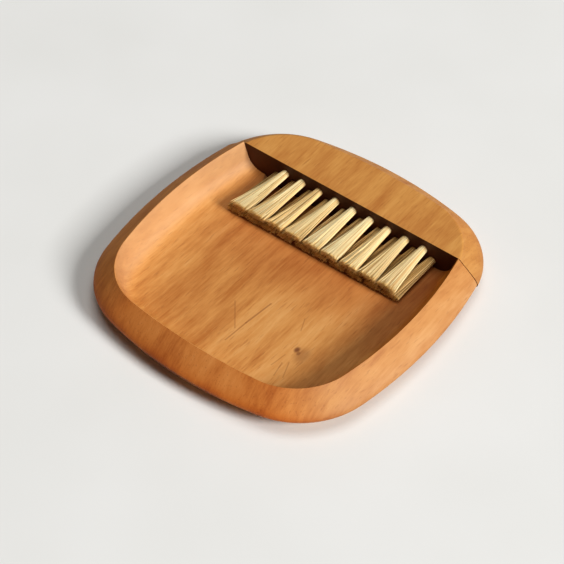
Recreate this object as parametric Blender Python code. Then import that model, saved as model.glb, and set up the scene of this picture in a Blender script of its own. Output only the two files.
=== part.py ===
"""A wooden crumb tray and the hand brush that nests in it.

The tray is a shallow dish with a soft square outline, cut off straight at one side to leave a mouth
with a thin sweeping lip. The brush is the piece that is missing there: its wooden handle completes the
outline, and its bristles lie in the hollow of the tray. Each tuft is a bundle of bristle that is folded
over a small steel anchor and driven into a drilled hole.

Both pieces are sawn out of one blank. The saw cut is lost, and the pieces close up by its width.

Metres, +Z up. The origin is on the table under the middle of the closed outline, +X runs along the
mouth, and +Y points from the tray to the handle.
"""

import math
from typing import NamedTuple

import bmesh
import bpy
from mathutils import Vector

# The closed outline, at its widest line
HALF_WIDTH = 0.0750  # along X
HALF_LENGTH = 0.0770  # along Y
SIDE_RADIUS_X = 0.2080  # how the two sides across X bow out
SIDE_RADIUS_Y = 0.1830  # how the two sides across Y bow out
CORNER_RADIUS = 0.0394

# The section through the edge, which comes to a blunt point halfway up
HEIGHT = 0.0180  # table to rim
WIDEST_HEIGHT = 0.0083  # table to the widest line
RIM_INSET = 0.01035  # widest line to rim, seen from above
RIM_SIDE_RADIUS_X = 0.1950
RIM_SIDE_RADIUS_Y = 0.2920
RIM_CORNER_RADIUS = 0.0305
BASE_INSET = 0.0125  # widest line to the flat base
EDGE_POWER = 1.18  # 1 is a straight bevel, 2 is an ellipse

# The hollow of the tray
FLOOR_THICKNESS = 0.0042
RIM_LAND = 0.00045  # the rim's crest is eased by this much
WALL_SLOPE = math.radians(72)
FILLET_RADIUS = 0.0079  # wall to floor
DISH_SLOPE = math.radians(5)  # the floor still rises this much where the fillet ends
DISH_WIDTH = 0.0160  # over which it flattens out

# The mouth
SAW_CUT = 0.0015  # lost between the tray and the handle
MOUTH_Y = 0.04215  # where the tray is cut off
LIP_THICKNESS = 0.0012
RAMP_LENGTH = 0.0080  # the floor slopes down to the lip over this length
RAMP_HALF_WIDTH = 0.0440

# The brush
SEAM = 0.0003  # between the tray's ends and the handle
BRUSH_SHIFT = 0.0007  # the brush lies this far to the right in the tray
TUFTS_BELOW = 10  # in the lower row; the upper row has one fewer, between them
ROW_END_MARGIN = 0.0166  # rim at the mouth to the centre of the end hole
ROW_OFFSET = 0.0026  # the drilled rows are this far right of the handle's middle
ROW_SPACING = 0.0041
ROW_RISE = 0.0039  # tray floor to the centres of the lower row
HOLE_RADIUS = 0.00225
HOLE_DEPTH = 0.0090
TUFT_CLEARANCE = 0.0003  # around a tuft in its hole, and between neighbours
TUFT_LENGTH = 0.0286  # handle to trimmed tips, in the middle of the row
TRIM_SKEW = 0.0008  # the left end of the row is this much longer, and the right end shorter
SWEEP = 0.00275  # use has bent all the tips this far to the left
UPPER_SPREAD = 0.04  # how much wider the upper row is at the tips
LOWER_SPREAD = -0.02
TIP_HALF_HEIGHT = 0.0016
UPPER_DROOP = 0.00215  # the tips hang this far below the holes
LOWER_DROOP = 0.00155

# The anchors: short pieces of flat wire
ANCHOR_THICKNESS = 0.0004
ANCHOR_WIDTH = 0.0016  # along the hole
ANCHOR_INSET = 0.0012  # folded end of the tuft to the anchor
ANCHOR_END_GAP = 0.0001

# How finely curves are cut up
SIDE_STEPS = 6
CORNER_STEPS = 9
EDGE_STEPS = 6
FILLET_STEPS = 6
DISH_STEPS = 3
HOLE_SIDES = 16
TUFT_SIDES = 12

CUT_SPARE = 0.01  # how far cutters reach past what they cut


class Outline(NamedTuple):
    """A soft square: four bowed sides and four rounder corners, all tangent arcs about the origin."""

    half_x: float
    half_y: float
    side_radius_x: float
    side_radius_y: float
    corner_radius: float

    def inset(self, distance):
        """The parallel outline that lies this far inside."""
        return Outline(*(size - distance for size in self))

    def corner_centre(self):
        """The corner arc is tangent inside both side arcs, so its centre lies where two circles cross."""
        x_centre = Vector((self.half_x - self.side_radius_x, 0))
        y_centre = Vector((0, self.half_y - self.side_radius_y))
        x_reach = self.side_radius_x - self.corner_radius
        y_reach = self.side_radius_y - self.corner_radius
        between = y_centre - x_centre
        along = (x_reach**2 - y_reach**2 + between.length_squared) / (2 * between.length)
        across = math.sqrt(x_reach**2 - along**2)
        unit = between.normalized()
        return x_centre + unit * along + Vector((-unit.y, unit.x)) * across

    def quadrant(self):
        """Points from the +X axis round to just before the +Y axis."""
        corner = self.corner_centre()
        x_centre = self.half_x - self.side_radius_x
        y_centre = self.half_y - self.side_radius_y
        first = math.atan2(corner.y, corner.x - x_centre)
        last = math.atan2(corner.y - y_centre, corner.x)
        arcs = (
            (Vector((x_centre, 0)), self.side_radius_x, 0, first, SIDE_STEPS),
            (corner, self.corner_radius, first, last, CORNER_STEPS),
            (Vector((0, y_centre)), self.side_radius_y, last, math.pi / 2, SIDE_STEPS),
        )
        points = []
        for centre, radius, start, end, steps in arcs:
            for step in range(steps):
                angle = start + (end - start) * step / steps
                points.append(centre + radius * Vector((math.cos(angle), math.sin(angle))))
        return points

    def points(self):
        """The whole outline, anticlockwise from the +X axis."""
        quarter = self.quadrant()
        top = Vector((0, self.half_y))
        half = quarter + [top] + [Vector((-p.x, p.y)) for p in reversed(quarter)]
        return half + [-p for p in half[1:-1]]

    def half_width_at(self, y):
        """Half the outline's width at this distance from the X axis, measured on its straight pieces."""
        quarter = self.quadrant() + [Vector((0, self.half_y))]
        for low, high in zip(quarter, quarter[1:]):
            if low.y <= y <= high.y:
                return low.x + (high.x - low.x) * (y - low.y) / (high.y - low.y)
        return 0.0


WIDEST = Outline(HALF_WIDTH, HALF_LENGTH, SIDE_RADIUS_X, SIDE_RADIUS_Y, CORNER_RADIUS)
RIM = Outline(
    HALF_WIDTH - RIM_INSET,
    HALF_LENGTH - RIM_INSET,
    RIM_SIDE_RADIUS_X,
    RIM_SIDE_RADIUS_Y,
    RIM_CORNER_RADIUS,
)

TRAY_CENTRE_Y = SAW_CUT / 2  # each outline has moved half the saw cut towards the other
HANDLE_CENTRE_Y = -SAW_CUT / 2
LOWER_ROW_HEIGHT = FLOOR_THICKNESS + ROW_RISE
UPPER_ROW_HEIGHT = LOWER_ROW_HEIGHT + ROW_SPACING
FACE_Y = MOUTH_Y + SEAM
ROW_HALF = RIM.half_width_at(MOUTH_Y - TRAY_CENTRE_Y) - ROW_END_MARGIN
TUFT_PITCH = 2 * ROW_HALF / (TUFTS_BELOW - 1)


def material(name, colour, roughness, metallic=0.0):
    made = bpy.data.materials.new(name)
    made.use_nodes = True
    shader = made.node_tree.nodes["Principled BSDF"]
    shader.inputs["Base Color"].default_value = (*colour, 1)
    shader.inputs["Roughness"].default_value = roughness
    shader.inputs["Metallic"].default_value = metallic
    return made


def add_mesh(name, bm, collection, finish=None):
    """Makes the bmesh an object. One with no finish is a cutter, which isn't rendered."""
    mesh = bpy.data.meshes.new(name)
    bm.to_mesh(mesh)
    bm.free()
    obj = bpy.data.objects.new(name, mesh)
    collection.objects.link(obj)
    if finish is None:
        obj.hide_render = True
        obj.display_type = "WIRE"
    else:
        mesh.materials.append(finish)
        mesh.shade_smooth()
        mesh.set_sharp_from_angle(angle=math.radians(30))
    return obj


def loft(name, rings, collection, finish=None):
    """A solid through rings of as many points each, anticlockwise as seen from the last one."""
    bm = bmesh.new()
    made = [[bm.verts.new(point) for point in ring] for ring in rings]
    count = len(rings[0])
    for lower, upper in zip(made, made[1:]):
        for i in range(count):
            j = (i + 1) % count
            bm.faces.new((lower[i], lower[j], upper[j], upper[i]))
    bm.faces.new(reversed(made[0]))
    bm.faces.new(made[-1])
    return add_mesh(name, bm, collection, finish)


def box(name, low, high, collection, finish=None):
    bm = bmesh.new()
    bmesh.ops.create_cube(bm, size=1)
    bmesh.ops.scale(bm, vec=high - low, verts=bm.verts)
    bmesh.ops.translate(bm, vec=(high + low) / 2, verts=bm.verts)
    return add_mesh(name, bm, collection, finish)


def boolean(obj, operation, other):
    """Adds a Boolean with one object, or with all the objects of a collection."""
    modifier = obj.modifiers.new(other.name, "BOOLEAN")
    modifier.operation = operation
    modifier.solver = "EXACT"
    if isinstance(other, bpy.types.Collection):
        modifier.operand_type = "COLLECTION"
        modifier.collection = other
    else:
        modifier.object = other


def edge_section(rise, reach, steps):
    """(distance in, distance up or down) from the widest line to the rim or the base, on a superellipse."""
    section = []
    for step in range(1, steps + 1):
        angle = math.pi / 2 * step / steps
        across = max(math.cos(angle), 0) ** (2 / EDGE_POWER)
        up = math.sin(angle) ** (2 / EDGE_POWER)
        section.append((reach * (1 - across), rise * up))
    return section


def ring(points, centre_y, height):
    return [Vector((p.x, p.y + centre_y, height)) for p in points]


def outside_rings(centre_y):
    """The outer skin, from the edge of the base up to the rim."""
    under = [
        ring(WIDEST.inset(inward).points(), centre_y, WIDEST_HEIGHT - down)
        for inward, down in edge_section(WIDEST_HEIGHT, BASE_INSET, EDGE_STEPS)
    ]
    widest, rim = WIDEST.points(), RIM.points()
    over = []
    for inward, up in edge_section(HEIGHT - WIDEST_HEIGHT, RIM_INSET, EDGE_STEPS):
        share = inward / RIM_INSET
        blend = [w.lerp(r, share) for w, r in zip(widest, rim)]
        over.append(ring(blend, centre_y, WIDEST_HEIGHT + up))
    return under[::-1] + [ring(widest, centre_y, WIDEST_HEIGHT)] + over


def hollow_section():
    """(distance in from the rim, depth) of the hollow: a sloping wall, a fillet and a dished floor."""
    dish_rise = math.tan(DISH_SLOPE) * DISH_WIDTH / 2
    fillet_fall = FILLET_RADIUS * (math.cos(DISH_SLOPE) - math.cos(WALL_SLOPE))
    wall_fall = HEIGHT - FLOOR_THICKNESS - dish_rise - fillet_fall - RIM_LAND
    inward, depth = RIM_LAND + wall_fall / math.tan(WALL_SLOPE), RIM_LAND + wall_fall
    section = [(RIM_LAND, RIM_LAND), (inward, depth)]
    for step in range(1, FILLET_STEPS + 1):
        slope = WALL_SLOPE + (DISH_SLOPE - WALL_SLOPE) * step / FILLET_STEPS
        section.append(
            (
                inward + FILLET_RADIUS * (math.sin(WALL_SLOPE) - math.sin(slope)),
                depth + FILLET_RADIUS * (math.cos(slope) - math.cos(WALL_SLOPE)),
            )
        )
    inward, depth = section[-1]
    for step in range(1, DISH_STEPS + 1):
        share = step / DISH_STEPS
        section.append((inward + DISH_WIDTH * share, depth + dish_rise * share * (2 - share)))
    return section


def hollow_rings():
    return [
        ring(RIM.inset(inward).points(), TRAY_CENTRE_Y, HEIGHT - depth)
        for inward, depth in hollow_section()
    ]


def mouth_cutter(collection):
    """All that lies beyond the mouth."""
    low = Vector((-HALF_WIDTH - CUT_SPARE, MOUTH_Y, -CUT_SPARE))
    high = Vector((HALF_WIDTH + CUT_SPARE, HALF_LENGTH + CUT_SPARE, HEIGHT + CUT_SPARE))
    return box("mouth_cutter", low, high, collection)


def ramp_cutter(collection):
    """All that lies above the ramp, with sides that lean out at 45 degrees."""
    slope = (FLOOR_THICKNESS - LIP_THICKNESS) / RAMP_LENGTH
    near, near_height = MOUTH_Y + CUT_SPARE, LIP_THICKNESS - slope * CUT_SPARE
    far, far_height = MOUTH_Y - RAMP_LENGTH - CUT_SPARE, FLOOR_THICKNESS + slope * CUT_SPARE
    rings = []
    for rise in (0, FLOOR_THICKNESS):
        half = RAMP_HALF_WIDTH + rise
        rings.append(
            [
                Vector((-half, far, far_height + rise)),
                Vector((half, far, far_height + rise)),
                Vector((half, near, near_height + rise)),
                Vector((-half, near, near_height + rise)),
            ]
        )
    return loft("ramp_cutter", rings, collection)


def make_tray(collection, cutters, finish):
    tray = loft("tray", outside_rings(TRAY_CENTRE_Y) + hollow_rings(), collection, finish)
    boolean(tray, "DIFFERENCE", ramp_cutter(cutters))
    boolean(tray, "DIFFERENCE", mouth_cutter(cutters))
    return tray


def tuft_places():
    """(row, number, x at the root, height, spread, droop) of every tuft, in the brush's own frame."""
    places = []
    for row, count, height, spread, droop in (
        ("upper", TUFTS_BELOW - 1, UPPER_ROW_HEIGHT, UPPER_SPREAD, UPPER_DROOP),
        ("lower", TUFTS_BELOW, LOWER_ROW_HEIGHT, LOWER_SPREAD, LOWER_DROOP),
    ):
        for number in range(count):
            from_middle = (number - (count - 1) / 2) * TUFT_PITCH
            places.append((row, number + 1, from_middle, height, spread, droop))
    return places


def at_hole(obj, from_middle, height, brush):
    """Places a piece with its local +Z out of the hole, and its origin at the hole's mouth."""
    obj.parent = brush
    obj.location = (ROW_OFFSET + from_middle, FACE_Y, height)
    obj.rotation_euler = (math.pi / 2, 0, 0)


def make_handle(collection, cutters, drills, brush, finish):
    handle = loft("brush_handle", outside_rings(HANDLE_CENTRE_Y), collection, finish)
    handle.parent = brush
    low = Vector((-HALF_WIDTH - CUT_SPARE, -HALF_LENGTH - CUT_SPARE, -CUT_SPARE))
    high = Vector((HALF_WIDTH + CUT_SPARE, FACE_Y, HEIGHT + CUT_SPARE))
    front_cutter = box("handle_front_cutter", low, high, cutters)
    front_cutter.parent = brush
    boolean(handle, "DIFFERENCE", front_cutter)
    for row, number, from_middle, height, _, _ in tuft_places():
        bm = bmesh.new()
        bmesh.ops.create_cone(
            bm,
            cap_ends=True,
            segments=HOLE_SIDES,
            radius1=HOLE_RADIUS,
            radius2=HOLE_RADIUS,
            depth=HOLE_DEPTH + CUT_SPARE,
        )
        bmesh.ops.translate(bm, vec=(0, 0, (CUT_SPARE - HOLE_DEPTH) / 2), verts=bm.verts)
        at_hole(add_mesh(f"drill_{row}_{number}", bm, drills), from_middle, height, brush)
    boolean(handle, "DIFFERENCE", drills)
    return handle


def tuft_ring(out, centre_x, centre_y, radius_x, radius_y):
    """One section across a tuft, this far out of its hole."""
    angles = [2 * math.pi * i / TUFT_SIDES for i in range(TUFT_SIDES)]
    return [
        Vector((centre_x + radius_x * math.cos(a), centre_y + radius_y * math.sin(a), out))
        for a in angles
    ]


def make_tuft(row, number, from_middle, height, spread, droop, collection, cutters, brush, finish):
    """A bundle that is round in its hole and fans out to a flat oval where it is trimmed."""
    length = TUFT_LENGTH - TRIM_SKEW * from_middle / ROW_HALF
    root_radius = HOLE_RADIUS - TUFT_CLEARANCE
    tip_half_width = (TUFT_PITCH * (1 + spread) - TUFT_CLEARANCE) / 2
    rings = [tuft_ring(TUFT_CLEARANCE - HOLE_DEPTH, 0, 0, root_radius, root_radius)]
    for share in (0, 0.2, 0.5, 1):
        eased = share * (1 + share) / 2
        rings.append(
            tuft_ring(
                length * share,
                (from_middle * spread - SWEEP) * eased,
                -droop * eased,
                root_radius + (tip_half_width - root_radius) * eased,
                root_radius + (TIP_HALF_HEIGHT - root_radius) * eased,
            )
        )
    tuft = loft(f"tuft_{row}_{number}", rings, collection, finish)
    at_hole(tuft, from_middle, height, brush)
    reach = Vector((HOLE_RADIUS * 2, ANCHOR_THICKNESS / 2 + TUFT_CLEARANCE, 0))
    deep = TUFT_CLEARANCE - HOLE_DEPTH + ANCHOR_INSET
    low = Vector((0, 0, deep)) - reach
    high = Vector((0, 0, deep + ANCHOR_WIDTH + 2 * TUFT_CLEARANCE)) + reach
    slot = box(f"anchor_slot_{row}_{number}", low, high, cutters)
    at_hole(slot, from_middle, height, brush)
    boolean(tuft, "DIFFERENCE", slot)


def make_anchor(row, number, from_middle, height, collection, brush, finish):
    """The flat wire that holds a tuft, across its hole."""
    reach = Vector((HOLE_RADIUS - ANCHOR_END_GAP, ANCHOR_THICKNESS / 2, 0))
    deep = 2 * TUFT_CLEARANCE - HOLE_DEPTH + ANCHOR_INSET
    low = Vector((0, 0, deep)) - reach
    high = Vector((0, 0, deep + ANCHOR_WIDTH)) + reach
    anchor = box(f"anchor_{row}_{number}", low, high, collection, finish)
    at_hole(anchor, from_middle, height, brush)


def new_collection(name):
    made = bpy.data.collections.new(name)
    bpy.context.scene.collection.children.link(made)
    return made


def main():
    for old in list(bpy.data.objects):
        bpy.data.objects.remove(old)
    parts = new_collection("crumb_tray_and_brush")
    cutters = new_collection("cutters")
    drills = new_collection("drills")
    wood = material("oiled_wood", (0.56, 0.27, 0.10), 0.5)
    bristle = material("bristle", (0.72, 0.58, 0.36), 0.65)
    steel = material("anchor_steel", (0.55, 0.54, 0.52), 0.35, 1.0)

    make_tray(parts, cutters, wood)

    brush = bpy.data.objects.new("brush_lift", None)
    parts.objects.link(brush)
    brush.location = (BRUSH_SHIFT, 0, 0)
    make_handle(parts, cutters, drills, brush, wood)
    for row, number, from_middle, height, spread, droop in tuft_places():
        make_tuft(row, number, from_middle, height, spread, droop, parts, cutters, brush, bristle)
        make_anchor(row, number, from_middle, height, parts, brush, steel)


main()
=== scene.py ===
# %% [markdown]
# # A wooden crumb tray with its hand brush
#
# A table is swept with two small things that are stored as one: a shallow tray with a soft square
# outline, open along one straight side, and a brush whose wooden handle is the piece missing from that
# outline. This lesson dresses a measured model of the set: smooth carved wood, real drilled holes, and
# bristle made hair by hair.
#
# The measured model, called the frame, has every piece at its right size. It is loaded first, and sizes
# are read from its boxes.

# %% Load the frame
import math
from typing import NamedTuple

import bmesh
import bpy
import numpy as np
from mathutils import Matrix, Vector


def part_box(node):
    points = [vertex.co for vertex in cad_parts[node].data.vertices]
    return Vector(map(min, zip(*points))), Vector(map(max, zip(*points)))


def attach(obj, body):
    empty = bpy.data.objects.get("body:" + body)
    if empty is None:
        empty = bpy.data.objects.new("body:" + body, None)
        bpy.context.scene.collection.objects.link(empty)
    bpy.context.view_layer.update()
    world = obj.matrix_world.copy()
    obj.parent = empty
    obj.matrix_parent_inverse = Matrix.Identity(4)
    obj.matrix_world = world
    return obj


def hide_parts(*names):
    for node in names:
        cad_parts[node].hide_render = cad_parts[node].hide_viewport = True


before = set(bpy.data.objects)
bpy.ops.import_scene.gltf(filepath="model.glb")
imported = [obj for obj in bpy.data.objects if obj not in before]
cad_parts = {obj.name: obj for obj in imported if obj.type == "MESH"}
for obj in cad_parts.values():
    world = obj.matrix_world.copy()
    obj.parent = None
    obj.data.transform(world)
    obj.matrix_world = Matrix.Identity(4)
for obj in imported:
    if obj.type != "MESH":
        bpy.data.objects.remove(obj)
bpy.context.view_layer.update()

print("pieces in the frame:", len(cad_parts))

# %% [markdown]
# ## Sizes
#
# Whatever the frame's boxes can give is read from them: the height, where the tray is cut off, where
# the handle begins. What a box can't say, such as how far the sides bow out, is written down here once,
# in metres, under the name that a maker would use for it. Tray and handle are sawn out of one blank.
# The saw cut is lost, and the two close up by its width, so each outline has moved half of that.

# %% Read sizes from the frame
MM = 0.001

tray_low, tray_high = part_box("tray")
handle_low, handle_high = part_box("brush_handle")
HEIGHT = tray_high[2]
MOUTH_Y = tray_high[1]
FACE_Y = handle_low[1]
HALF_WIDTH = tray_high[0]
SAW_CUT = 1.5 * MM
TRAY_CENTRE_Y = SAW_CUT / 2
HANDLE_CENTRE_Y = -SAW_CUT / 2
HALF_LENGTH = TRAY_CENTRE_Y - tray_low[1]
BRUSH_SHIFT = (handle_low[0] + handle_high[0]) / 2

print(f"the blank is {2 * HALF_WIDTH / MM:.0f} x {2 * HALF_LENGTH / MM:.0f} x {HEIGHT / MM:.0f} mm")
print(f"the mouth is at y = {MOUTH_Y / MM:.1f} mm")
print(f"the brush sits {BRUSH_SHIFT / MM:.1f} mm to the right")

# %% [markdown]
# ## The camera
#
# The view is from the front right and well above, through a long lens, which keeps the far corner
# nearly as large as the near one. The camera is placed by what a photographer would say: how far round
# it stands, how high it looks from and how far away it is. It is turned with a track quaternion, which
# is the shortest way to make a camera look at a point.

# %% Place the camera
CAMERA_AZIMUTH = math.radians(38.3)
CAMERA_ELEVATION = math.radians(47.1)
CAMERA_DISTANCE = 0.702
CAMERA_LENS = 102.0
CAMERA_SHIFT = (-0.0142, -0.0283)
WIDEST_HEIGHT = 8.3 * MM

aim = Vector((0, TRAY_CENTRE_Y, WIDEST_HEIGHT))
outward = Vector(
    (
        math.sin(CAMERA_AZIMUTH) * math.cos(CAMERA_ELEVATION),
        -math.cos(CAMERA_AZIMUTH) * math.cos(CAMERA_ELEVATION),
        math.sin(CAMERA_ELEVATION),
    )
)
camera = bpy.data.objects.new("camera", bpy.data.cameras.new("camera"))
bpy.context.collection.objects.link(camera)
camera.location = aim + outward * CAMERA_DISTANCE
camera.rotation_euler = (-outward).to_track_quat("-Z", "Y").to_euler()
camera.data.lens = CAMERA_LENS
camera.data.shift_x, camera.data.shift_y = CAMERA_SHIFT
camera.data.clip_start = 0.01
bpy.context.scene.camera = camera

print("camera at", [round(value, 3) for value in camera.location])

# %% [markdown]
# ## The soft square outline
#
# The outline isn't a square with round corners. Its four sides bow out as well, so it is drawn the way a
# pattern maker draws it: eight arcs, each tangent to the next. A curve object could hold it, but two
# such outlines have to match point for point, because the sloping edge is stretched between them. So the
# points are worked out here, with the same number on each arc of every outline.

# %% Draw an outline from tangent arcs
SIDE_POINTS = 22
CORNER_POINTS = 26


class Outline(NamedTuple):
    """A soft square: how far it reaches, the radii its sides bow out with, and its corners' radius."""

    half_x: float
    half_y: float
    side_radius_x: float
    side_radius_y: float
    corner_radius: float

    def inset(self, distance):
        """The parallel outline that lies this far inside."""
        return Outline(*(size - distance for size in self))

    def corner_centre(self):
        """A corner arc touches both sides' arcs from inside: its centre is where two circles cross."""
        x_centre = Vector((self.half_x - self.side_radius_x, 0))
        y_centre = Vector((0, self.half_y - self.side_radius_y))
        x_reach = self.side_radius_x - self.corner_radius
        y_reach = self.side_radius_y - self.corner_radius
        between = y_centre - x_centre
        along = (x_reach**2 - y_reach**2 + between.length_squared) / (2 * between.length)
        across = math.sqrt(x_reach**2 - along**2)
        unit = between.normalized()
        return x_centre + unit * along + Vector((-unit.y, unit.x)) * across

    def quadrant(self):
        """Points from the +X axis round to just before the +Y axis."""
        corner = self.corner_centre()
        x_centre = self.half_x - self.side_radius_x
        y_centre = self.half_y - self.side_radius_y
        first = math.atan2(corner.y, corner.x - x_centre)
        last = math.atan2(corner.y - y_centre, corner.x)
        arcs = (
            ((x_centre, 0), self.side_radius_x, 0, first, SIDE_POINTS),
            (corner, self.corner_radius, first, last, CORNER_POINTS),
            ((0, y_centre), self.side_radius_y, last, math.pi / 2, SIDE_POINTS),
        )
        points = []
        for (x, y), radius, start, end, count in arcs:
            angles = np.linspace(start, end, count, endpoint=False)
            points += [(x + radius * math.cos(angle), y + radius * math.sin(angle)) for angle in angles]
        return points

    def points(self):
        """The whole outline as an array, anticlockwise from the +X axis."""
        quarter = np.array(self.quadrant())
        half = np.vstack((quarter, [(0, self.half_y)], quarter[::-1] * (-1, 1)))
        return np.vstack((half, -half[1:-1]))


# %% The widest line, and the rim above it
RIM_INSET = 10.35 * MM

widest = Outline(HALF_WIDTH, HALF_LENGTH, 208 * MM, 183 * MM, 39.4 * MM)
rim = Outline(HALF_WIDTH - RIM_INSET, HALF_LENGTH - RIM_INSET, 195 * MM, 292 * MM, 30.5 * MM)

print(f"{len(widest.points())} points round each outline")

# %% [markdown]
# ## The section through the edge
#
# Everything that gives the set its character is in one section: a rounded underside, a widest line that
# is soft to the thumb, a slope that leans in at about 43 degrees and swells a little, a crisp rim, and
# then the hollow, which drops steeply and sweeps into the floor. The section is a list of points, each
# with how far in from the widest line it is and how high. The slopes are Bezier curves, because two
# handles are enough to say how a slope leaves one edge and arrives at the next.

# %% Bezier slopes and the outer section
BASE_INSET = 12.5 * MM
BASE_LAND = 1.5 * MM
UNDERSIDE_STEPS = 12
SLOPE_STEPS = 14


def bezier(start, leave, arrive, end, steps):
    """Points along a cubic Bezier curve, without its first one."""
    start, leave, arrive, end = (np.array(point) for point in (start, leave, arrive, end))
    made = []
    for t in np.linspace(0, 1, steps + 1)[1:]:
        s = 1 - t
        made.append(s**3 * start + 3 * s * s * t * leave + 3 * s * t * t * arrive + t**3 * end)
    return [tuple(point) for point in made]


foot = (BASE_INSET, 0)
tip = (0, WIDEST_HEIGHT)
crest = (RIM_INSET, HEIGHT)
under_handles = ((6.8 * MM, 0.9 * MM), (0, WIDEST_HEIGHT - 2.0 * MM))
slope_handles = ((0, WIDEST_HEIGHT + 2.2 * MM), (5.0 * MM, HEIGHT - 4.1 * MM))
outer_section = [(BASE_INSET + BASE_LAND, 0), foot]
outer_section += bezier(foot, *under_handles, tip, UNDERSIDE_STEPS)
outer_section += bezier(tip, *slope_handles, crest, SLOPE_STEPS)

print(f"{len(outer_section)} points from the base up to the rim")

# %% The section of the hollow
FLOOR_HEIGHT = 4.2 * MM
RIM_LAND = 0.45 * MM
WALL_SLOPE = math.radians(72)
FILLET_RADIUS = 7.9 * MM
DISH_SLOPE = math.radians(5)
DISH_WIDTH = 16 * MM
FILLET_STEPS = 12
DISH_STEPS = 6


def hollow_points():
    """The wall, the fillet under it and the dished floor, as distance in from the rim and height."""
    dish_rise = math.tan(DISH_SLOPE) * DISH_WIDTH / 2
    fillet_fall = FILLET_RADIUS * (math.cos(DISH_SLOPE) - math.cos(WALL_SLOPE))
    wall_fall = HEIGHT - FLOOR_HEIGHT - dish_rise - fillet_fall - RIM_LAND
    points = [(RIM_LAND * share, HEIGHT - RIM_LAND * share**2) for share in (0.35, 0.7, 1)]
    inward = RIM_LAND + wall_fall / math.tan(WALL_SLOPE)
    height = HEIGHT - RIM_LAND - wall_fall
    points += [((RIM_LAND + inward) / 2, (HEIGHT - RIM_LAND + height) / 2), (inward, height)]
    for slope in np.linspace(WALL_SLOPE, DISH_SLOPE, FILLET_STEPS + 1)[1:]:
        across = math.sin(WALL_SLOPE) - math.sin(slope)
        down = math.cos(slope) - math.cos(WALL_SLOPE)
        points.append((inward + FILLET_RADIUS * across, height - FILLET_RADIUS * down))
    inward, height = points[-1]
    for share in np.linspace(0, 1, DISH_STEPS + 1)[1:]:
        points.append((inward + DISH_WIDTH * share, height - dish_rise * share * (2 - share)))
    return points


hollow_section = hollow_points()
print(f"the hollow is {(HEIGHT - hollow_section[-1][1]) / MM:.1f} mm deep")

# %% [markdown]
# ## From a section to a solid
#
# Each point of the section becomes a ring, and the rings are bridged into faces. Below the widest line
# the rings are plain insets of it. Above, they pass from the widest outline to the rim's, whose sides
# are straighter, so each ring is a blend of the two. Inside, they are insets of the rim. This could be
# a bevelled curve, but a curve has one section all round and couldn't blend two outlines.

# %% Rings and the bridge between them
def lift(flat, height):
    """The outline's points, at this height."""
    return np.column_stack((flat, np.full(len(flat), height)))


def outer_ring(inward, height):
    """One ring of the outside, which blends into the rim's outline above the widest line."""
    if height <= WIDEST_HEIGHT:
        return lift(widest.inset(inward).points(), height)
    share = inward / RIM_INSET
    return lift(widest.points() * (1 - share) + rim.points() * share, height)


def hollow_ring(inward, height):
    """One ring of the hollow, at the same distance in from the rim all round."""
    return lift(rim.inset(inward).points(), height)


def bridge(rings):
    """A bmesh with a wall of faces through the rings, and a flat face at each end."""
    bm = bmesh.new()
    made = [[bm.verts.new(point) for point in ring] for ring in rings]
    for lower, upper in zip(made, made[1:]):
        for i in range(len(lower)):
            j = (i + 1) % len(lower)
            bm.faces.new((lower[i], lower[j], upper[j], upper[i]))
    bm.faces.new(reversed(made[0]))
    bm.faces.new(made[-1])
    return bm


print(f"{len(outer_section)} rings outside and {len(hollow_section)} in the hollow")

# %% Cut a solid off straight
SHARP_FROM = math.radians(30)


def cut_off(bm, y, keep_front):
    """Cuts away what lies behind the plane at y, or in front of it, and closes the cut."""
    direction = Vector((0, 1 if keep_front else -1, 0))
    geometry = bm.verts[:] + bm.edges[:] + bm.faces[:]
    cut = bmesh.ops.bisect_plane(
        bm, geom=geometry, dist=1e-7, plane_co=(0, y, 0), plane_no=direction, clear_outer=True
    )
    edges = [item for item in cut["geom_cut"] if isinstance(item, bmesh.types.BMEdge)]
    bmesh.ops.contextual_create(bm, geom=edges)
    bmesh.ops.recalc_face_normals(bm, faces=bm.faces[:])


def shade(mesh):
    """Shades the mesh smooth but for its sharper edges."""
    mesh.shade_smooth()
    mesh.set_sharp_from_angle(angle=SHARP_FROM)


def add_piece(name, bm):
    """Makes the bmesh an object."""
    mesh = bpy.data.meshes.new(name)
    bm.to_mesh(mesh)
    bm.free()
    shade(mesh)
    piece = bpy.data.objects.new(name, mesh)
    bpy.context.collection.objects.link(piece)
    return piece


def carve(piece, cutters):
    """Takes the cutters out of the piece for good, and removes them."""
    for cutter in cutters:
        modifier = piece.modifiers.new(cutter.name, "BOOLEAN")
        modifier.operation = "DIFFERENCE"
        modifier.solver = "EXACT"
        modifier.object = cutter
    seen = piece.evaluated_get(bpy.context.evaluated_depsgraph_get())
    mesh = bpy.data.meshes.new_from_object(seen)
    piece.modifiers.clear()
    piece.data = mesh
    shade(mesh)
    for cutter in cutters:
        bpy.data.objects.remove(cutter)


print(f"edges sharper than {math.degrees(SHARP_FROM):.0f} degrees stay crisp")

# %% [markdown]
# ## The tray
#
# The tray is the whole solid, hollow and all, cut off straight at the mouth. Crumbs are swept in over
# the mouth, so its floor runs down a short ramp to a thin lip. The ramp is one slanting cut, made with a
# Boolean, because a slanting plane across a dished floor would be awkward to build into the rings.

# %% Make the tray
LIP_THICKNESS = 1.2 * MM
RAMP_LENGTH = 8 * MM
RAMP_HALF_WIDTH = 44 * MM
SPARE = 10 * MM

rings = [outer_ring(*point) for point in outer_section]
rings += [hollow_ring(*point) for point in hollow_section]
bm = bridge([ring + (0, TRAY_CENTRE_Y, 0) for ring in rings])
cut_off(bm, MOUTH_Y, keep_front=True)
tray = add_piece("tray_wood", bm)

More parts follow.
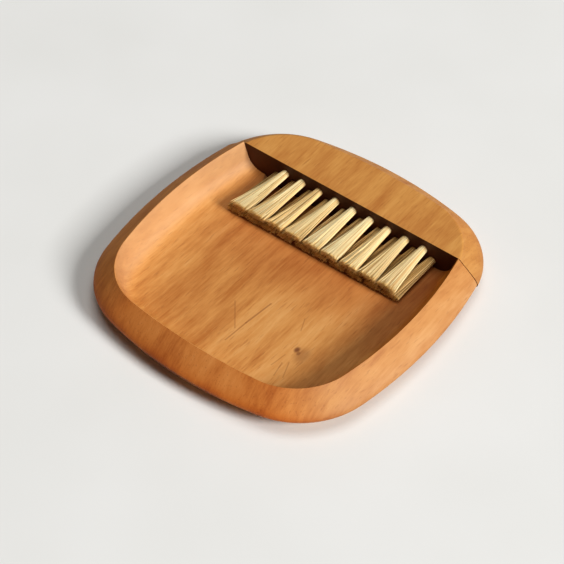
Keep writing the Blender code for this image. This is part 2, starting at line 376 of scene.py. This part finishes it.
slope = (FLOOR_HEIGHT - LIP_THICKNESS) / RAMP_LENGTH
near_y, near_height = MOUTH_Y + SPARE, LIP_THICKNESS - slope * SPARE
far_y, far_height = MOUTH_Y - RAMP_LENGTH - SPARE, FLOOR_HEIGHT + slope * SPARE
ramp_rings = []
for rise in (0, FLOOR_HEIGHT):
    half = RAMP_HALF_WIDTH + rise
    corners = ((-half, far_y), (half, far_y), (half, near_y), (-half, near_y))
    heights = (far_height, far_height, near_height, near_height)
    ramp_rings.append([(x, y, z + rise) for (x, y), z in zip(corners, heights)])
carve(tray, [add_piece("ramp_cutter", bridge(ramp_rings))])
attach(tray, "tray")
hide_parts("tray")

print(f"the tray has {len(tray.data.polygons)} faces")

# %% [markdown]
# ## The brush handle
#
# The handle is the same outside with a flat top, and it is the part that the tray's cut took away. It
# has a blind hole for each tuft, and the holes are real: light goes in round the bristle, and that dark
# ring is what makes a drilled brush look drilled. Each hole's place is read from the small steel anchor
# at the bottom of it.

# %% Find the tufts
class Tuft(NamedTuple):
    """A tuft's name, its row, and where its hole is on the handle's face."""

    name: str
    row: str
    x: float
    z: float


def find_tufts():
    """Every tuft, row by row from left to right."""
    found = []
    for node in sorted(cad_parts):
        if node.startswith("anchor_"):
            low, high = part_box(node)
            name = node.replace("anchor_", "")
            row = name.split("_")[0]
            found.append(Tuft(name, row, (low[0] + high[0]) / 2, (low[2] + high[2]) / 2))
    return sorted(found, key=lambda tuft: (tuft.row, tuft.x))


tufts = find_tufts()
print(f"{len(tufts)} tufts in rows at", sorted({round(tuft.z / MM, 1) for tuft in tufts}), "mm")

# %% Make the handle and drill it
HOLE_RADIUS = 2.25 * MM
HOLE_DEPTH = 9 * MM
HOLE_SIDES = 40
ROUNDED_TO = RIM_INSET + 1.0 * MM
ROUNDED_STEPS = 6
SEAM_CLOSED = 0.15 * MM  # half of the gap that the frame leaves between the handle and the tray

shoulder = outer_section[-2]
rounding_handles = ((RIM_INSET - 0.35 * MM, HEIGHT), crest)
handle_section = outer_section[:-1]
handle_section += bezier(shoulder, *rounding_handles, (ROUNDED_TO, HEIGHT), ROUNDED_STEPS)
rings = [outer_ring(*point) + (BRUSH_SHIFT, HANDLE_CENTRE_Y, 0) for point in handle_section]
bm = bridge(rings)
cut_off(bm, FACE_Y - SEAM_CLOSED, keep_front=False)
handle = add_piece("handle_wood", bm)

drills = []
for tuft in tufts:
    drill = bmesh.new()
    bmesh.ops.create_cone(
        drill,
        cap_ends=True,
        segments=HOLE_SIDES,
        radius1=HOLE_RADIUS,
        radius2=HOLE_RADIUS,
        depth=2 * HOLE_DEPTH,
    )
    piece = add_piece(f"drill_{tuft.name}", drill)
    piece.rotation_euler.x = math.pi / 2
    piece.location = (tuft.x, FACE_Y, tuft.z)
    drills.append(piece)
bpy.context.view_layer.update()
carve(handle, drills)
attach(handle, "brush")
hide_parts("brush_handle")

print(f"the handle has {len(handle.data.polygons)} faces and {len(tufts)} holes")

# %% [markdown]
# ## The bristle
#
# A tuft is a bundle of stiff hairs, folded in the middle over the anchor and driven into its hole. It
# leaves the hole tight and round, and the hairs part as they go, until the tufts of a row meet just
# before the tips. Use has swept them to the left, and they droop.
#
# Blender's hair particles would do, but they can't be exported as a solid, so each hair is a thin
# tapered tube in one mesh per tuft. A hair starts where it lies in the hole and ends where it lies in
# the wider oval at the tips, with a little waver on the way. A few stray further than the rest, and no
# two end quite level, which gives the trimmed face its speckle.
#
# Each hair also gets a tone, a number stored on its points, which the material turns into a colour. The
# lower row is given a darker tone, which is painted shade from the row above it.

# %% How the hairs of a tuft lie
HAIRS_PER_TUFT = 230
HAIR_SIDES = 3
HAIR_RADIUS = 0.17 * MM
GOLDEN_ANGLE = math.pi * (3 - math.sqrt(5))

ANCHOR_GAP = 0.45 * MM
HOLE_STATIONS = (-8.2 * MM, -5.2 * MM)
FREE_STATIONS = (0, 0.15, 0.35, 0.6, 0.85, 0.975, 1)
TUFT_LENGTH = 28.6 * MM
TRIM_SKEW = 0.8 * MM
SWEEP = 2.75 * MM
ROOT_RADIUS = 1.8 * MM
TIP_HALF_HEIGHT = 1.6 * MM
ROW_SPREAD = {"upper": 0.04, "lower": -0.02}
ROW_DROOP = {"upper": 2.15 * MM, "lower": 1.55 * MM}
# the lower row's darker tone is painted shade from the row above it
ROW_TONE_AND_SHADE = {"upper": 0.66, "lower": 0.30}

# how the hairs are packed: shares of the tuft's own radius and width
PRESSED_WIDTH, PRESSED_HEIGHT = 0.85, 0.8
SQUARED_TIP = 0.6
TIP_FILL = (0.90, 1.0)
PLACE_SPREAD = 0.02

# how they differ from each other
LEAN_SPREAD = 0.25 * MM
STRAY_SHARE, STRAY_SPREAD = 0.04, 0.5 * MM
SHORT_SHARE, SHORT_BY = 0.15, 2.5 * MM
LENGTH_SPREAD = 0.5 * MM
SPLAY_SPREAD = 0.22 * MM
WAVER_SPREAD = 0.07 * MM

row_x = {row: [tuft.x for tuft in tufts if tuft.row == row] for row in ROW_SPREAD}
row_middle = sum(row_x["lower"]) / len(row_x["lower"])
row_half = (row_x["lower"][-1] - row_x["lower"][0]) / 2
pitch = row_x["lower"][1] - row_x["lower"][0]


def hair_paths(tuft, rng):
    """How far right, up and out of its hole each point of each hair is: hairs x stations x 3."""
    count = HAIRS_PER_TUFT
    order = np.arange(count) + 0.5
    radius = np.sqrt(order / count)
    turn = order * GOLDEN_ANGLE + rng.uniform(0, 2 * math.pi)
    across = radius * np.cos(turn) + rng.normal(0, PLACE_SPREAD, count)
    up = radius * np.sin(turn) + rng.normal(0, PLACE_SPREAD, count)
    squarer = up / np.sqrt(np.maximum(1 - across**2, 0.2))

    from_middle = tuft.x - row_middle
    lean = from_middle * ROW_SPREAD[tuft.row] - SWEEP + rng.normal(0, LEAN_SPREAD)
    tip_half_width = pitch * (1 + ROW_SPREAD[tuft.row]) / 2 * rng.uniform(*TIP_FILL)
    strays = np.where(rng.random(count) < STRAY_SHARE, rng.normal(0, STRAY_SPREAD, count), 0)
    length = TUFT_LENGTH - TRIM_SKEW * from_middle / row_half
    length = length - np.abs(rng.normal(0, LENGTH_SPREAD, count))
    length -= np.where(rng.random(count) < SHORT_SHARE, rng.uniform(0, SHORT_BY, count), 0)
    splay = rng.normal(0, SPLAY_SPREAD, (count, 2))
    waver = rng.normal(0, WAVER_SPREAD, (count, 2))

    stations = []
    pressed = np.sign(up) * (ANCHOR_GAP + np.abs(up) * (ROOT_RADIUS - ANCHOR_GAP) * PRESSED_HEIGHT)
    for depth in HOLE_STATIONS:
        stations.append((across * ROOT_RADIUS * PRESSED_WIDTH, pressed, np.full(count, depth)))
    for share in FREE_STATIONS:
        eased = share * (1.5 + share) / 2.5
        wave = math.sin(math.pi * share)
        half_width = ROOT_RADIUS + (tip_half_width - ROOT_RADIUS) * eased
        half_height = ROOT_RADIUS + (TIP_HALF_HEIGHT - ROOT_RADIUS) * eased
        x = across * half_width + lean * eased + strays * share + waver[:, 0] * wave
        x += splay[:, 0] * share**3
        fill = up + (squarer - up) * SQUARED_TIP * share**2
        z = fill * half_height - ROW_DROOP[tuft.row] * eased + waver[:, 1] * wave
        z += splay[:, 1] * share**3
        stations.append((x, z, length * share))
    return np.transpose(np.array(stations), (2, 0, 1))


print(f"tufts {pitch / MM:.1f} mm apart, hairs {TUFT_LENGTH / MM:.1f} mm long")

# %% Tubes along the paths
def hair_mesh(name, paths, tones):
    """One mesh of thin tubes, closed at both ends, with each hair's tone on its points."""
    hairs, stations, _ = paths.shape
    taper = np.interp(np.arange(stations), (0, stations - 2, stations - 1), (1, 0.95, 0.5))
    angles = 2 * math.pi * np.arange(HAIR_SIDES) / HAIR_SIDES
    round_it = np.column_stack((np.cos(angles), np.sin(angles), np.zeros(HAIR_SIDES)))
    points = paths[:, :, None, :] + round_it[None, None] * (HAIR_RADIUS * taper)[None, :, None, None]
    index = np.arange(hairs * stations * HAIR_SIDES).reshape(hairs, stations, HAIR_SIDES)
    beside = np.roll(index, -1, axis=2)
    walls = np.stack((index[:, :-1], beside[:, :-1], beside[:, 1:], index[:, 1:]), axis=-1)
    faces = walls.reshape(-1, 4).tolist()
    faces += index[:, 0, ::-1].tolist() + index[:, -1].tolist()
    mesh = bpy.data.meshes.new(name)
    mesh.from_pydata(points.reshape(-1, 3).tolist(), [], faces)
    along = np.tile(np.repeat((0,) * len(HOLE_STATIONS) + FREE_STATIONS, HAIR_SIDES), hairs)
    stored = {"tone": np.repeat(tones, stations * HAIR_SIDES), "along": along}
    for attribute, values in stored.items():
        mesh.attributes.new(attribute, "FLOAT", "POINT").data.foreach_set("value", values)
    mesh.shade_smooth()
    return mesh


print(f"a hair is {2 * HAIR_RADIUS / MM:.2f} mm thick, with {HAIR_SIDES} sides")

# %% Make every tuft
FIRST_SEED = 100
TONE_SPREAD = 0.22


def make_bristles():
    """One object for each tuft, at its hole."""
    pieces = []
    for number, tuft in enumerate(tufts):
        rng = np.random.default_rng(FIRST_SEED + number)
        paths = hair_paths(tuft, rng)
        tuft_tone = ROW_TONE_AND_SHADE[tuft.row] + rng.uniform(-0.10, 0.10)
        tones = np.clip(rng.normal(tuft_tone, TONE_SPREAD, HAIRS_PER_TUFT), 0, 1)
        mesh = hair_mesh(f"bristles_{tuft.name}", paths, tones)
        points = np.empty(len(mesh.vertices) * 3)
        mesh.vertices.foreach_get("co", points)
        right, up, out = points.reshape(-1, 3).T
        placed = np.column_stack((tuft.x + right, FACE_Y - out, tuft.z + up))
        mesh.vertices.foreach_set("co", placed.ravel())
        mesh.update()
        piece = bpy.data.objects.new(mesh.name, mesh)
        bpy.context.collection.objects.link(piece)
        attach(piece, "brush")
        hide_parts(f"tuft_{tuft.name}")
        pieces.append(piece)
    return pieces


bristles = make_bristles()
print(f"{len(bristles)} tufts, {len(bristles) * HAIRS_PER_TUFT} hairs")

# %% [markdown]
# ## Helpers for materials
#
# A material in Blender is a small network of nodes. It could be wired by hand in the shader editor. Here
# a class with a few helpers keeps the next cells short: they add a node and set its inputs, do
# arithmetic, mix two colours and make a ramp of several.

# %% Node helpers
class Finish:
    """A material under construction."""

    def __init__(self, name):
        self.material = bpy.data.materials.new(name)
        self.material.use_nodes = True
        self.tree = self.material.node_tree
        self.shader = self.tree.nodes["Principled BSDF"]

    def put(self, socket, value):
        """Links a socket to the value, or writes the value on it."""
        if isinstance(value, bpy.types.NodeSocket):
            self.tree.links.new(value, socket)
        else:
            socket.default_value = value

    def surface(self, name, value):
        """Sets one of the shader's own inputs."""
        self.put(self.shader.inputs[name], value)

    def node(self, kind, inputs=(), **settings):
        """A new node with these inputs and settings."""
        made = self.tree.nodes.new(kind)
        for name, value in settings.items():
            setattr(made, name, value)
        for name, value in dict(inputs).items():
            self.put(made.inputs[name], value)
        return made

    def math(self, operation, first, second=0.0, third=0.0, clamp=False):
        """One step of arithmetic. MULTIPLY_ADD gives first x second + third."""
        made = self.node("ShaderNodeMath", {0: first, 1: second, 2: third}, operation=operation)
        made.use_clamp = clamp
        return made.outputs[0]

    def vector(self, operation, first, second=(0, 0, 0)):
        """One step of vector arithmetic, whose answer may be a number."""
        made = self.node("ShaderNodeVectorMath", {0: first, 1: second}, operation=operation)
        return made.outputs["Value" if operation in ("DOT_PRODUCT", "LENGTH") else "Vector"]

    def between(self, value, low, high):
        """0 at low and under, 1 at high and over, smooth in between."""
        inputs = {"Value": value, "From Min": low, "From Max": high}
        return self.node("ShaderNodeMapRange", inputs, interpolation_type="SMOOTHSTEP").outputs[0]

    def mix(self, factor, first, second, blend="MIX"):
        """Two colours mixed: 0 gives the first. A mix node keeps its colours in sockets 6 and 7."""
        made = self.node("ShaderNodeMix", data_type="RGBA", blend_type=blend)
        self.put(made.inputs["Factor"], factor)
        self.put(made.inputs[6], first)
        self.put(made.inputs[7], (*second, 1))
        return made.outputs[2]

    def ramp(self, value, *stops):
        """A ramp through colours, each given as where it is and what it is."""
        made = self.node("ShaderNodeValToRGB", {0: value})
        elements = made.color_ramp.elements
        for index, (position, colour) in enumerate(stops):
            element = elements[index] if index < 2 else elements.new(position)
            element.position = position
            element.color = (*colour, 1)
        return made.outputs[0]

    def noise(self, vector, scale, detail=2.0, roughness=0.5):
        """Soft noise, mostly between 0.3 and 0.7; a larger scale makes it finer."""
        inputs = {"Vector": vector, "Scale": scale, "Detail": detail, "Roughness": roughness}
        return self.node("ShaderNodeTexNoise", inputs).outputs[0]

    def stretched(self, vector, scale, offset=(0, 0, 0)):
        """Coordinates scaled along each axis: a pattern gets longer along an axis scaled below 1."""
        inputs = {"Vector": vector, "Scale": scale, "Location": offset}
        return self.node("ShaderNodeMapping", inputs).outputs[0]


print("helpers:", ", ".join(name for name in vars(Finish) if not name.startswith("_")))

# %% [markdown]
# ## The wood
#
# It is a close, even hardwood under oil, cut so that the grain runs from the tray towards the handle.
# Wood is best made as a solid pattern that fills space, not as a picture wrapped round the piece: then
# the same fibres show as long streaks on the floor and as short upright ones on the end grain, as they
# would if it had really been carved. So every pattern here is a noise in the object's own coordinates,
# stretched along Y, the way the fibres run, and less along Z, because the growth rings stand upright.
#
# End grain soaks up more oil, so it is a little darker and redder. Most of each side's tint, though, is
# painted shade and painted light, read from which way the side faces and set to how the window falls on
# it; the handle's sawn front face is painted near black as painted shade. Two more patches are painted:
# shade on the floor by the bristle, and light on the wall of the hollow that faces the window.

# %% The pattern of the wood
def wood_pattern(finish, offset):
    """The tone of the wood from 0, dark, to 1, pale, the flecks in it, and its fine fibres."""
    place = finish.node("ShaderNodeTexCoord").outputs["Object"]
    patches = finish.noise(finish.stretched(place, (1, 0.45, 1), offset), 46, 2, 0.55)
    layers = finish.noise(finish.stretched(place, (1, 0.05, 0.16), offset), 120, 3, 0.55)
    fibres = finish.noise(finish.stretched(place, (1, 0.07, 0.28), offset), 1000, 3, 0.6)
    flecks = finish.noise(finish.stretched(place, (1, 0.10, 1), offset), 1500, 1)
    mottle = finish.noise(finish.stretched(place, (1, 0.30, 0.45), offset), 230, 2.5, 0.6)
    # each part of the tone counts by its strength, and is lowered to leave the sum near a half
    tone = finish.math("MULTIPLY_ADD", patches, 0.90, -0.285)
    tone = finish.math("ADD", tone, finish.math("MULTIPLY_ADD", layers, 0.60, -0.15))
    tone = finish.math("ADD", tone, finish.math("MULTIPLY_ADD", mottle, 0.65, -0.275))
    tone = finish.math("ADD", tone, finish.math("MULTIPLY_ADD", fibres, 0.62, -0.27), clamp=True)
    return place, tone, finish.between(flecks, 0.60, 0.74), fibres


def facing(finish, axis, low, high):
    """1 where the surface faces along this axis, 0 where it faces away; a minus sign turns the axis."""
    normal = finish.node("ShaderNodeTexCoord").outputs["Normal"]
    toward = finish.node("ShaderNodeSeparateXYZ", {0: normal}).outputs[axis[-1]]
    if axis.startswith("-"):
        toward = finish.math("MULTIPLY", toward, -1.0)
    return finish.between(toward, low, high)


def bristle_shade_zone(finish, place):
    """1 on the floor under and before the bristle, where painted shade darkens it."""
    x, y, z = finish.node("ShaderNodeSeparateXYZ", {0: place}).outputs
    behind = finish.between(y, -24 * MM, 10 * MM)
    low = finish.between(z, 8 * MM, 5 * MM)
    near = finish.math("MULTIPLY", behind, low)
    return finish.math("MULTIPLY", near, finish.between(x, -58 * MM, -30 * MM))


def lit_wall_zone(finish, place):
    """1 on the wall of the hollow that faces right, where painted light brightens it."""
    x = finish.node("ShaderNodeSeparateXYZ", {0: place}).outputs["X"]
    return finish.math("MULTIPLY", finish.between(x, -20 * MM, -50 * MM), facing(finish, "X", 0.1, 0.9))


print("the wood's pattern has patches, layers, mottle, fibres and flecks")

# %% Small marks
MARK_CORE = 0.2  # this share of a scratch's width has its full depth
KNOT_CORE = 0.25
KNOT_STRETCH = (1, 0.7, 1)


def near_line(finish, place, start, end, width):
    """1 on a thin straight mark from start to end, fading to 0 at its edge."""
    start, end = Vector(start) * MM, Vector(end) * MM
    along = end - start
    offset = finish.vector("SUBTRACT", place, tuple(start))
    share = finish.vector("DOT_PRODUCT", offset, tuple(along / along.length_squared))
    share = finish.math("ADD", share, 0.0, clamp=True)
    nearest = finish.node("ShaderNodeVectorMath", {0: tuple(along), "Scale": share}, operation="SCALE")
    distance = finish.vector("LENGTH", finish.vector("SUBTRACT", offset, nearest.outputs[0]))
    return finish.between(distance, width, width * MARK_CORE)


def near_knot(finish, place, centre, radius):
    """1 in a small oval knot, fading out round it."""
    offset = finish.vector("SUBTRACT", place, tuple(Vector(centre) * MM))
    offset = finish.vector("MULTIPLY", offset, KNOT_STRETCH)
    return finish.between(finish.vector("LENGTH", offset), radius, radius * KNOT_CORE)


print(f"a knot is {1 / KNOT_STRETCH[1]:.1f} times as long as it is wide")

# %% Oiled wood
# a side's tint, mostly painted shade: which way it faces, where the tint begins and where it is full,
# and its colour
FACING_SHADE_TINTS = (
    ("-Y", 0.25, 0.95, (0.92, 0.52, 0.17)),  # painted shade on the front slope, partly real end grain
    ("Y", 0.25, 0.95, (0.96, 0.86, 0.80)),  # end grain inside the hollow and at the back, partly painted shade
    ("-X", 0.15, 0.80, (1.0, 0.80, 0.27)),  # painted shade on the sides that face away from the window
    ("X", 0.30, 0.80, (0.76, 0.73, 0.80)),  # painted shade on the sides that face the window, toning down their light
    ("-Y", 0.985, 0.999, (0.18, 0.15, 0.13)),  # painted shade on the handle's sawn front face
)
FLECK = (0.28, 0.09, 0.02)
# painted shade for the floor by the bristle
BRISTLE_SHADE_TINT = (0.88, 0.76, 0.68)
# painted light for the wall of the hollow that faces the window
PAINTED_WALL_LIGHT = (0.95, 0.62, 0.34)
SCRATCH = (0.22, 0.07, 0.015)
KNOT = (0.16, 0.045, 0.01)
GRAIN_DEPTH = 0.2 * MM


def oiled_wood(name, dark, middle, pale, offset, scratches=(), knots=()):
    """Wood whose tone runs from dark to pale, with painted shade and light by where it faces and lies,
    and its scratches and knots.
    """
    finish = Finish(name)
    place, tone, flecks, fibres = wood_pattern(finish, offset)
    colour = finish.ramp(tone, (0.12, dark), (0.5, middle), (0.88, pale))
    colour = finish.mix(finish.math("MULTIPLY", flecks, 0.28), colour, FLECK)
    # tint each side by which way it faces: mostly painted shade and light, partly end grain
    for axis, low, high, tint in FACING_SHADE_TINTS:
        colour = finish.mix(facing(finish, axis, low, high), colour, tint, "MULTIPLY")
    # painted shade on the floor under and before the bristle
    colour = finish.mix(bristle_shade_zone(finish, place), colour, BRISTLE_SHADE_TINT, "MULTIPLY")
    # painted light on the wall of the hollow that faces the window
    colour = finish.mix(finish.math("MULTIPLY", lit_wall_zone(finish, place), 0.26), colour, PAINTED_WALL_LIGHT)
    for start, end, width, depth in scratches:
        mark = finish.math("MULTIPLY", near_line(finish, place, start, end, width * MM), depth)
        colour = finish.mix(mark, colour, SCRATCH)
    for centre, radius, depth in knots:
        mark = finish.math("MULTIPLY", near_knot(finish, place, centre, radius * MM), depth)
        colour = finish.mix(mark, colour, KNOT)
    finish.surface("Base Color", colour)
    finish.surface("Roughness", finish.math("MULTIPLY_ADD", fibres, 0.16, 0.54))
    relief = finish.math("SUBTRACT", fibres, finish.math("MULTIPLY", flecks, 0.6))
    bump = finish.node("ShaderNodeBump", {"Height": relief, "Strength": 0.25, "Distance": GRAIN_DEPTH})
    finish.surface("Normal", bump.outputs[0])
    return finish.material


print(f"{len(FACING_SHADE_TINTS)} tints by which way the wood faces")

# %% Dress the tray and the handle
# a scratch: where it starts and ends, and its width, all in millimetres, and how dark it is
FLOOR_MARKS = (
    ((2.6, -47.0, 4.2), (3.4, -34.0, 4.2), 0.50, 0.45),
    ((3.4, -34.0, 4.2), (5.0, -18.9, 4.2), 0.60, 0.55),
    ((31.0, -49.3, 4.6), (29.3, -41.8, 4.2), 0.45, 0.36),
    ((34.6, -47.9, 4.6), (31.6, -40.0, 4.2), 0.45, 0.36),
    ((26.5, -45.5, 4.3), (27.6, -37.5, 4.2), 0.40, 0.35),
    ((24.7, -23.0, 4.2), (21.9, -16.6, 4.2), 0.40, 0.35),
    ((-8.3, -27.2, 4.2), (1.5, -39.2, 4.2), 0.55, 0.30),
)
# a knot: its middle and its radius in millimetres, and how dark it is
FLOOR_KNOTS = (
    ((29.9, -32.3, 4.2), 1.7, 0.85),
    ((31.6, -33.6, 4.2), 1.1, 0.55),
    ((33.5, -33.5, 4.2), 4.5, 0.35),
)

TRAY_TONES = ((0.45, 0.168, 0.034), (0.61, 0.285, 0.081), (0.71, 0.383, 0.139))
HANDLE_TONES = ((0.47, 0.188, 0.040), (0.60, 0.290, 0.076), (0.71, 0.385, 0.125))
ELSEWHERE_IN_BLANK = (0.31, 0.17, 0.05)

tray_finish = oiled_wood("tray_wood", *TRAY_TONES, (0, 0, 0), FLOOR_MARKS, FLOOR_KNOTS)
handle_finish = oiled_wood("handle_wood", *HANDLE_TONES, ELSEWHERE_IN_BLANK)
for piece, finish in ((tray, tray_finish), (handle, handle_finish)):
    piece.data.materials.clear()
    piece.data.materials.append(finish)

print("wood:", tray_finish.name, "and", handle_finish.name)

# %% [markdown]
# ## Bristle and steel
#
# Natural bristle isn't one colour: straw, cream and a few browner hairs lie side by side. The cut tips
# are
# painted darker and more orange: partly their real colour, partly painted shade of the trimmed face. The
# tone stored on each hair drives a ramp, and the distance along the hair darkens its end. The anchors
# are plain bright wire, seen only if a tuft is pulled.

# %% Bristle and steel
STRAW = (0.39, 0.225, 0.065)
GOLD = (0.95, 0.67, 0.30)
CREAM = (1.0, 0.86, 0.52)
# the cut tips' colour: partly their real colour, partly painted shade of the trimmed face
CUT_TIP_AND_SHADE = (1.0, 0.60, 0.14)
DULL_STEEL = (0.42, 0.41, 0.40)
BRIGHT_STEEL = (0.62, 0.61, 0.60)


def bristle_finish():
    """Hair coloured by the tone and the distance stored on its points."""
    finish = Finish("bristle")
    finish.surface("Roughness", 0.55)
    tone = finish.node("ShaderNodeAttribute", attribute_name="tone").outputs["Fac"]
    along = finish.node("ShaderNodeAttribute", attribute_name="along").outputs["Fac"]
    colour = finish.ramp(tone, (0.1, STRAW), (0.5, GOLD), (0.9, CREAM))
    # darker tips: partly real, partly painted shade of the trimmed face
    tips = finish.math("MULTIPLY", finish.between(along, 0.95, 1.0), 0.6)
    finish.surface("Base Color", finish.mix(tips, colour, CUT_TIP_AND_SHADE))
    return finish.material


def wire_finish():
    """Drawn steel, with fine lines along the wire."""
    finish = Finish("anchor_wire")
    finish.surface("Metallic", 1.0)
    place = finish.node("ShaderNodeTexCoord").outputs["Object"]
    drawn = finish.noise(finish.stretched(place, (0.05, 1, 1)), 9000, 2)
    finish.surface("Base Color", finish.ramp(drawn, (0.3, DULL_STEEL), (0.7, BRIGHT_STEEL)))
    finish.surface("Roughness", finish.math("MULTIPLY_ADD", drawn, 0.2, 0.25))
    return finish.material


bristle = bristle_finish()
for piece in bristles:
    piece.data.materials.append(bristle)

wire = wire_finish()
for tuft in tufts:
    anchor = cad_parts[f"anchor_{tuft.name}"]
    for slot in anchor.material_slots:
        slot.material = wire

print("bristle on", len(bristles), "tufts, wire on", len(tufts), "anchors")

# %% [markdown]
# ## Table and light
#
# The set stands on something pale. The light is that of a large window to the right: it rakes across
# the hollow, so the wall facing it is bright, the wall under it is dark, and the front of the handle
# falls into shadow. A sun lamp could do it, but its shadows would be hard, and a window's are soft. A
# weak white sky fills the rest.

# %% The pale floor
FLOOR_HALF_SIZE = 3
FLOOR_BELOW = 0.05 * MM
CHALK = (0.76, 0.765, 0.755)
PALE_CHALK = (0.785, 0.79, 0.785)


def make_floor():
    """A wide flat sheet just under the set, faintly uneven in tone."""
    bm = bmesh.new()
    bmesh.ops.create_grid(bm, x_segments=1, y_segments=1, size=FLOOR_HALF_SIZE)
    piece = add_piece("table_top", bm)
    piece.location.z = -FLOOR_BELOW
    finish = Finish("pale_table")
    finish.surface("Roughness", 0.9)
    place = finish.node("ShaderNodeTexCoord").outputs["Object"]
    soft = finish.noise(place, 14, 2)
    finish.surface("Base Color", finish.ramp(soft, (0.3, CHALK), (0.7, PALE_CHALK)))
    piece.data.materials.append(finish.material)


make_floor()
print(f"a pale floor {2 * FLOOR_HALF_SIZE} m wide")

# %% The window light and the sky
def area_light(name, towards, distance, size, power, colour):
    """A square light this far from the set in the given direction, facing it."""
    light = bpy.data.lights.new(name, "AREA")
    light.shape = "SQUARE"
    light.size = size
    light.energy = power
    light.color = colour
    lamp = bpy.data.objects.new(name, light)
    bpy.context.collection.objects.link(lamp)
    direction = Vector(towards).normalized()
    lamp.location = aim + direction * distance
    lamp.rotation_euler = (-direction).to_track_quat("-Z", "Y").to_euler()


area_light("window", (0.85, 0.05, 0.52), distance=7.0, size=2.1, power=490, colour=(1.0, 0.995, 0.98))
area_light("sky", (0.05, 0.1, 1.0), distance=5.0, size=3.4, power=93, colour=(1.0, 0.985, 0.96))

world = bpy.data.worlds.new("sky")
bpy.context.scene.world = world
world.use_nodes = True
background = world.node_tree.nodes["Background"]
background.inputs["Color"].default_value = (1.0, 0.92, 0.84, 1)
background.inputs["Strength"].default_value = 0.05
bpy.context.scene.view_settings.view_transform = "Standard"
bpy.context.scene.view_settings.look = "Medium High Contrast"

# %% [markdown]
# ## Size
#
# The dressed set has to be the size that the frame said.
